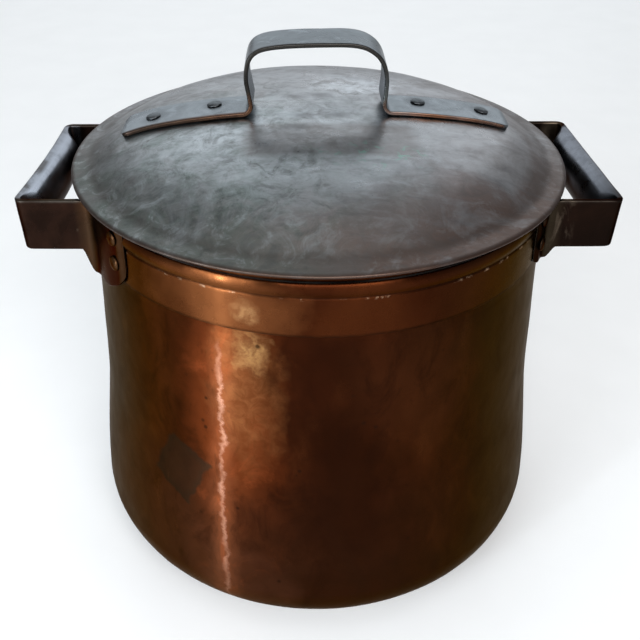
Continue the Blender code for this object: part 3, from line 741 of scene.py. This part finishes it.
# the band's outline: lower edge, plain face, scored line, bead, top
band_in = NECK_R + GAP
face_low, face_high = BAND_BOTTOM + 0.0006, BAND_LINE - 0.0014
bead_low, bead_top = BAND_LINE + 0.0012, BAND_TOP - 0.0004
band_rows = [(band_in, BAND_BOTTOM), (BAND_OUT - 0.0005, BAND_BOTTOM),
             (BAND_OUT - 0.00015, BAND_BOTTOM + 0.00015)]
band_rows += [(BAND_OUT, face_low + (face_high - face_low) * i / 12) for i in range(13)]
band_rows += [(BAND_OUT - 0.0001, BAND_LINE - 0.0008), (BAND_OUT - 0.0005, BAND_LINE - 0.0002),
              (BAND_OUT - 0.0005, BAND_LINE + 0.0002), (BAND_OUT - 0.0001, BAND_LINE + 0.0008)]
band_rows += [(BAND_OUT + 0.0011 * sin(pi * i / 10) ** 0.8,
               bead_low + (bead_top - bead_low) * i / 10) for i in range(11)]
band_rows += [(BAND_OUT - 0.0004, BAND_TOP), (band_in, BAND_TOP)]


def band_shape(p, j):
    """Slight unevenness, most along the lower edge."""
    if j in (0, len(band_rows) - 1):
        return p
    q = push(p, 0.00012 * noisy(p, 0.03, 5.0) - 0.00008)
    if j < 4:
        q.z += 0.0003 * noisy(p, 0.02, 9.0)
    return q


def roll_shape(p, j):
    return push(p, 0.0002 * noisy(p, 0.025, 2.0) - 0.0001)


neck_band = turned("neck_band_skin", band_rows, [BAND], band_shape, sharp=60)
place(neck_band, "pot", "band_copper", "neck_band")

roll_z = WALL_TOP + GAP + ROLL_HEIGHT
roll = [(ROLL_R + ROLL_DEPTH * cos(a), roll_z + ROLL_HEIGHT * sin(a))
        for a in (2 * pi * i / 20 for i in range(20))]
place(turned("rim_roll_skin", roll, [BAND], roll_shape), "pot", "band_copper", "rim_roll")


# ---- side handles
foot_r = BAND_OUT + GAP + STRAP_T / 2

SECTION_ROWS = 16
CORNER_TURNS = (0, 22, 45, 68, 90)


def section(half_t, outer, inner):
    """Loop round a strap's section as (share of the height from the top, height offset, thickness place).
    outer and inner are the corner radii of the two faces."""
    loop = []
    for share, r, sign, turns in ((0.0, outer, 1, CORNER_TURNS), (1.0, outer, 1, CORNER_TURNS[::-1]),
                                  (1.0, inner, -1, CORNER_TURNS), (0.0, inner, -1, CORNER_TURNS[::-1])):
        if share == 1.0 and sign == 1:
            loop += [(i / SECTION_ROWS, 0.0, half_t) for i in range(1, SECTION_ROWS)]
        if share == 0.0 and sign == -1:
            loop += [(1 - i / SECTION_ROWS, 0.0, -half_t) for i in range(1, SECTION_ROWS)]
        for a in turns:
            drop = r - r * cos(radians(a))
            depth = half_t - r + r * sin(radians(a))
            loop.append((share, drop if share else -drop, sign * depth))
    return loop


def sweep(name, stations, point, material):
    """Strap from section loops: point(station) gives each loop; the ends are closed flat."""
    loops = [point(i) for i in range(stations)]
    n = len(loops[0])
    verts = [v for loop in loops for v in loop]
    faces = []
    for i in range(stations - 1):
        for k in range(n):
            m = (k + 1) % n
            faces.append((i * n + k, (i + 1) * n + k, (i + 1) * n + m, i * n + m))
    for i in (0, stations - 1):
        ring = [i * n + k for k in range(n)]
        for k in range(n // 2 - 1):
            faces.append((ring[k], ring[k + 1], ring[n - 2 - k], ring[n - 1 - k]))
    return make_object(name, verts, faces, [material])


def arm_path(side, half, shift=0.0):
    """Centreline in plan from a foot's end to where the arm leaves straight, for a near arm on -X."""
    bend = ROOT_BEND[side]
    cx = sqrt((foot_r + bend) ** 2 - (half + bend) ** 2)
    meet = degrees(atan2(half + bend, cx))
    path = arc((0, 0), foot_r, 180 + FOOT_END[side] + shift, 180 + meet, 30)
    return path + arc((-cx, -half - bend), bend, meet, 90, 20)[1:]


def fillet(before, tip, after, radius, steps):
    """Arc of this radius in the corner between two straight runs."""
    a, b = (before - tip).normalized(), (after - tip).normalized()
    half = a.angle(b) / 2
    centre = tip + (a + b).normalized() * (radius / sin(half))
    start, end = tip + a * (radius / tan(half)) - centre, tip + b * (radius / tan(half)) - centre
    first = atan2(start.y, start.x)
    turn = (atan2(end.y, end.x) - first + pi) % (2 * pi) - pi
    return [centre + Vector((cos(first + turn * i / steps), sin(first + turn * i / steps))) * radius
            for i in range(steps + 1)]


def rounding(radius, from_end):
    """How far a rounded corner of this radius cuts in, this far from the strap's end."""
    return radius - sqrt(max(0.0, radius ** 2 - (radius - min(from_end, radius)) ** 2))


def side_handle(side, side_name):
    half = GRIP_SPAN[side] / 2 - STRAP_T / 2
    near_half, far_half = half - GRIP_MID[side], half + GRIP_MID[side]
    near_x, far_x = GRIP_NEAR_X - STRAP_T / 2, GRIP_FAR_X - STRAP_T / 2
    near_tip, far_tip = Vector((-near_x, -near_half)), Vector((-far_x, far_half))
    inward = Vector((1, 0))
    near = arm_path(side, near_half) + fillet(near_tip + inward, near_tip, far_tip, CORNER_BEND, 12)
    far = [Vector((p.x, -p.y)) for p in arm_path(side, far_half, BACK_SHIFT[side])]
    far += fillet(far_tip + inward, far_tip, near_tip, CORNER_BEND, 12)
    a, b = near[-1], far[-1]
    middle = [a.lerp(b, i / 80) + inward * (GRIP_BOW[side] * sin(pi * i / 80))
              for i in range(1, 80)]
    path = resample(near + middle + far[::-1], 1.2 * MM)
    normal = normals(path)      # away from the pot
    length = lengths(path)

    def point(i):
        c = path[i]
        reach = hypot(c.x, c.y)
        from_end = min(length[i], length[-1] - length[i])
        near_end = blend_in(1 - from_end / RISE_OVER)
        flare = blend_in((foot_r + FLARE_FROM - reach) / FLARE_OVER)
        thick = STRAP_T + (FOOT_T - STRAP_T) * flare - FEATHER_T * blend_in(1 - from_end / FEATHER)
        top = ARM_TOP + (FOOT_TOP - ARM_TOP) * flare - rounding(TOP_CORNER, from_end)
        low = ARM_BOTTOM[side] + (FOOT_BOTTOM[side] - ARM_BOTTOM[side]) * flare \
            + rounding(FOOT_CORNER[side], from_end) + FOOT_RISE[side] * flare * near_end
        share_along = (c.y - a.y) / (b.y - a.y)
        on_grip = blend_in(min(share_along, 1 - share_along) * GRIP_SPAN[side] / GRIP_EASE) \
            if c.x < -GRIP_FAR_X + 3 * STRAP_T else 0.0
        free = blend_in((reach - foot_r - DENTS_FROM) / DENTS_OVER)
        lean_share = clamp((-c.x - foot_r) / (GRIP_NEAR_X - foot_r))
        loop = []
        for share, lift, n in section(STRAP_T / 2, STRAP_EDGE, (1.1 + on_grip) * MM):
            drop = share - lift / (top - low)
            if n > 0:
                belly = GRIP_BELLY * sin(pi * share) ** 0.7
            elif drop < GRIP_ROUND:
                # the inner face of a grip rolls over from its outer top edge
                full = STRAP_T - STRAP_EDGE + GRIP_BELLY
                belly = full * sqrt(max(0.0, 1 - (1 - drop / GRIP_ROUND) ** 2)) + STRAP_EDGE \
                    - (STRAP_T / 2 - n)
            else:
                belly = GRIP_BELLY * cos(pi / 2 * (share - GRIP_ROUND) / (1 - GRIP_ROUND)) ** 0.7
            belly = on_grip * (belly + GRIP_TUCK * share)
            shift = (n + STRAP_T / 2) * thick / STRAP_T - STRAP_T / 2
            x = c.x + normal[i].x * shift + belly + GRIP_LEAN * share * lean_share
            y = c.y + normal[i].y * shift
            p = Vector((x, y, top + (low - top) * share + lift))
            # forged unevenness, kept inside the CAD strap
            p.z += (0.0003 * noisy(p, 0.03, 11.0) - 0.0003) * (1 - 2 * share)
            dent = 0.00016 * (1 + noisy(p, 0.016, 4.0 + side)) * free
            dent *= 1 if n > 0 else -1
            loop.append(Vector((-side * (p.x - normal[i].x * dent), p.y - normal[i].y * dent, p.z)))
        return loop

    strap = sweep(f"{side_name}_handle_strap", len(path), point, STRAP)
    place(strap, "pot", "dark_strap", f"{side_name}_handle")


side_handle(-1, "left")
side_handle(1, "right")


# ---- rivets
def facing(direction, at):
    """Frame at a place, with its Z axis along this direction."""
    matrix = direction.to_track_quat("Z", "Y").to_matrix().to_4x4()
    matrix.translation = Vector(at)
    return matrix


def rivet(node_name, where, tail, head, material, body_name, slot_name, number, flat=1.0):
    """Hand-hammered rivet head and tail, on a shank through the sheets. number sets its dents."""
    seed = number * 1.7
    outline = [(0, tail - TAIL_H)]
    outline += [(TAIL_R * sin(a), tail - TAIL_H * cos(a) ** 0.7)
                for a in map(radians, (25, 50, 72, 86))]
    outline += [(TAIL_R, tail), (SHANK_R, tail), (SHANK_R, head), (HEAD_R * 0.96, head)]
    outline += [(HEAD_R * cos(a) ** 0.85, head + 0.0002 + (HEAD_H * flat - 0.0002) * sin(a))
                for a in map(radians, (6, 18, 32, 46, 60, 74))]
    outline += [(0, head + HEAD_H * flat)]

    def dent(p, j):
        if p.z <= head + 0.0001:
            return p
        k = 1 - 0.05 * abs(noisy(p, 0.006, seed))
        drop = 0.00045 * max(0.0, noisy(p, 0.0045, seed + 3)) + 0.00012
        return Vector((p.x * k, p.y * k, p.z - drop))

    ob = turned(f"{node_name}_head", outline, [material], dent, segments=32, sharp=70)
    ob.data.transform(where)
    place(ob, body_name, slot_name, node_name)


rivets_made = 0
for side, side_name in ((-1, "left"), (1, "right")):
    for face, face_name in ((-1, "front"), (1, "back")):
        for z, row in zip(RIVET_Z, ("upper", "lower")):
            a = radians(RIVET_AT[side] + (BACK_SHIFT[side] if face > 0 else 0.0))
            where = facing(Vector((side * cos(a), face * sin(a), 0)), (0, 0, z))
            rivets_made += 1
            rivet(f"rivet_{side_name}_{face_name}_{row}", where, NECK_R - WALL_T - 2 * GAP,
                  foot_r - STRAP_T / 2 + FOOT_T + GAP, RIVET, "pot", "rivet_copper", rivets_made)


# ---- lid
crown = smooth_curve([(r * MM, z * MM) for r, z in LID_SHAPE], 7)
crown[0] = Vector((0, crown[0].y))
rim_edge = [Vector((LID_R - cut * MM, z * MM)) for cut, z in
            ((3.2, 2.85), (1.6, 2.5), (0.5, 1.9), (0.1, 1.2), (0.1, 0.6), (0.6, 0.15))]
top_face = crown + rim_edge
under = [Vector((max(p.x, 0.0), p.y)) for p in offset(crown, -LID_T)]
under[0] = Vector((0, crown[0].y - LID_T))
lid_rows = [(p.x, p.y + RIM_Z) for p in top_face + under[::-1]]
lid_top_rows = len(top_face)


def lid_height(r):
    """Height of the lid's top face over the lid edge, at this radius."""
    return interpolate(crown, r)


def skew(x):
    """Sideways place of the lid strap's middle at this X: its right foot was set askew."""
    return interpolate(STRAP_SKEW, x / MM) * MM


def lid_dent(p):
    """Dents of the old lid, which flatten out under the strap's feet and towards the edge."""
    r = hypot(p.x, p.y)
    calm = blend_in((0.16 - r) / 0.03)
    side_gap = (abs(p.y - skew(p.x)) - LID_STRAP_W / 2) / 0.02
    clear = blend_in(max(side_gap, (0.042 - abs(p.x)) / 0.02, (abs(p.x) - 0.136) / 0.02))
    return calm * clear * (0.00055 * noisy(p, 0.06, 6.0) + 0.00022 * noisy(p, 0.026, 8.0)) \
        + 0.00018 * noisy(p, 0.05, 12.0) * (1 - calm) * (1 if r < 0.166 else 0)


def lid_shape(p, j):
    return Vector((p.x, p.y, p.z + lid_dent(p)))


lid_dome = turned("lid_dome_skin", lid_rows, [LID, TIN], lid_shape, lambda j: 0 if j < lid_top_rows else 1)
place(lid_dome, "lid", "lid_grey", "lid_dome")

ring_top = RIM_Z + lid_height(RING_R) - LID_T * 1.25 - GAP
ring_low = RIM_Z - RING_DEPTH
ring_in = RING_R - RING_T
ring = [(ring_in, ring_low + 0.0003), (RING_R - RING_T * 0.7, ring_low), (RING_R - RING_T * 0.3, ring_low),
        (RING_R, ring_low + 0.0003), (RING_R, ring_low + 0.006), (RING_R, ring_top - 0.0006),
        (ring_in, ring_top), (ring_in, ring_low + 0.006)]
place(turned("lid_ring_skin", ring, [TIN]), "lid", "lid_grey", "lid_ring")


# ---- lid handle
def strap_foot(side):
    """Centreline of one foot in the strap's own X-Z plane, from its end up to the leg."""
    lift = LID_STRAP_T / 2 + 1.3 * GAP
    inner_x = LEG_X[side] + LEG_BEND
    foot = []
    steps = 40
    for i in range(steps + 1):
        x = STRAP_END[side] + (inner_x - STRAP_END[side]) * i / steps
        slope = (lid_height(x + 4 * MM) - lid_height(x - 4 * MM)) / (8 * MM)
        foot.append(Vector((x, lid_height(x))) + Vector((-slope, 1)).normalized() * lift)
    base = foot[-1]
    slope = degrees(atan2(foot[-1].y - foot[-2].y, foot[-2].x - foot[-1].x))
    bend = arc((base.x, base.y + LEG_BEND), LEG_BEND, -90 - slope, -180, 14)[1:]
    return [Vector((side * p.x, p.y)) for p in foot + bend]


left_foot, right_foot = strap_foot(-1), strap_foot(1)[::-1]
crest = smooth_curve([left_foot[-1]] + [Vector(p) * MM for p in CREST] + [right_foot[0]], 8)
lid_path = resample(left_foot + crest[1:-1] + right_foot, 1.4 * MM)
lid_normal, lid_length = normals(lid_path), lengths(lid_path)
crest_top = max(p.y for p in lid_path) + LID_STRAP_T / 2 - 0.1 * MM


def lid_strap_point(i):
    c = lid_path[i]
    from_end = min(lid_length[i], lid_length[-1] - lid_length[i])
    # the legs are drawn in a little between foot and crest
    drawn_in = 0.0011 * exp(-((c.y - 0.052) / 0.012) ** 2)
    half = LID_STRAP_W / 2 - rounding(LID_FOOT_CORNER, from_end) * 0.8 - drawn_in
    thin = 1 - 0.3 * max(0.0, 1 - from_end / (3 * MM))
    loop = []
    for share, lift, n in section(LID_STRAP_T / 2, 0.9 * MM, 0.8 * MM):
        shift = n * (thin if n > 0 else 1.0)
        p = Vector((c.x + lid_normal[i].x * shift, skew(c.x) - half + 2 * half * share - lift,
                    c.y + lid_normal[i].y * shift))
        p.y += 0.00035 * noisy(p, 0.025, 14.0) * (1 - 2 * share)
        if n > 0:
            dent = 0.00013 * (1 + noisy(p, 0.013, 15.0))
            p.x -= lid_normal[i].x * dent
            p.z -= lid_normal[i].y * dent
        p.z = min(p.z, crest_top) + RIM_Z
        loop.append(p)
    return loop


lid_handle = sweep("lid_handle_strap", len(lid_path), lid_strap_point, LID_STRAP)
place(lid_handle, "lid", "lid_strap", "lid_handle")

for spot_name, (x, y) in LID_RIVETS.items():
    r = hypot(x, y)
    slope = (lid_height((r + 2) * MM) - lid_height((r - 2) * MM)) / (4 * MM)
    where = facing(Vector((-slope * x / r, -slope * y / r, 1)).normalized(),
                   (x * MM, y * MM, RIM_Z + lid_height(r * MM)))
    rivets_made += 1
    rivet(f"lid_rivet_{spot_name}", where, -LID_T - 2 * GAP, LID_STRAP_T + 2 * GAP, LID_RIVET,
          "lid", "lid_strap", rivets_made, 0.8)


# ---- floor, lights, camera
FLOOR_HALF, FLOOR_Z = 9.0, -0.0006
# name: place, aim, size, watts, colour
LIGHTS = {
    "window_slit": ((-0.884, -0.955, 0.32), (-0.064, -0.149, 0.2), (0.05, 0.5), 5, (0.8, 0.92, 1.0)),
    "window_left": ((-1.31, -1.38, 0.75), (0, 0, 0.45), (1.00, 1.20), 20, (0.86, 0.94, 1.0)),
    "sky_back": ((0, 2.1, 1.45), (0, 0, 0.35), (3.0, 2.0), 18, (0.9, 0.96, 1.0)),
    "overhead": ((0, 0.15, 2.7), (0, 0, 0.3), (2.0, 1.7), 5, (0.94, 0.98, 1.0)),
    "front": ((0.35, -2.4, 1.75), (0, 0, 0.1), (2.4, 1.6), 75, (1.0, 0.99, 0.98)),
}
SKY_COLOUR, SKY_STRENGTH = (0.94, 0.97, 1.0, 1.0), 0.45
CAMERA_AT, LENS, SHIFT_UP = (-0.0153, -0.5851, 0.5542), 50.57, -0.078
PITCH, YAW, ROLL = 31.32, 1.66, 0.68        # degrees: down, to the right, tilt


def pale_floor():
    mesh = bpy.data.meshes.new("floor")
    s = FLOOR_HALF
    mesh.from_pydata([(-s, -s, 0), (s, -s, 0), (s, s, 0), (-s, s, 0)], [], [(0, 1, 2, 3)])
    ob = add_object("floor", mesh)
    ob.location.z = FLOOR_Z
    g = Graph("pale_floor")
    g.colour = g.mix(g.span(g.noise(14, 3), 0.3, 0.7), (0.9, 0.9, 0.9), (0.92, 0.92, 0.92))
    mesh.materials.append(g.finish(0.75, metallic=0.0))


def area_light(name, at, aim, size, watts, colour):
    data = bpy.data.lights.new(name, "AREA")
    data.shape = "RECTANGLE"
    data.size, data.size_y = size
    data.energy = watts
    data.color = colour
    ob = add_object(name, data)
    ob.location = at
    ob.rotation_euler = (Vector(aim) - Vector(at)).to_track_quat("-Z", "Y").to_euler()
    ob.visible_camera = False


pale_floor()
for light_name, settings in LIGHTS.items():
    area_light(light_name, *settings)

world = bpy.data.worlds.new("studio")
world.use_nodes = True
background = world.node_tree.nodes["Background"]
background.inputs["Color"].default_value = SKY_COLOUR
background.inputs["Strength"].default_value = SKY_STRENGTH
bpy.context.scene.world = world

camera = bpy.data.cameras.new("camera")
camera.sensor_width = 36.0
camera.lens = LENS
camera.shift_y = SHIFT_UP
camera.clip_start = 0.02
camera_ob = add_object("camera", camera)
camera_ob.location = CAMERA_AT
look = Matrix.Rotation(radians(-YAW), 4, "Z") @ Matrix.Rotation(radians(90 - PITCH), 4, "X") \
    @ Matrix.Rotation(radians(ROLL), 4, "Z")
camera_ob.rotation_euler = look.to_euler()
bpy.context.scene.camera = camera_ob
bpy.context.scene.view_settings.view_transform = "Standard"
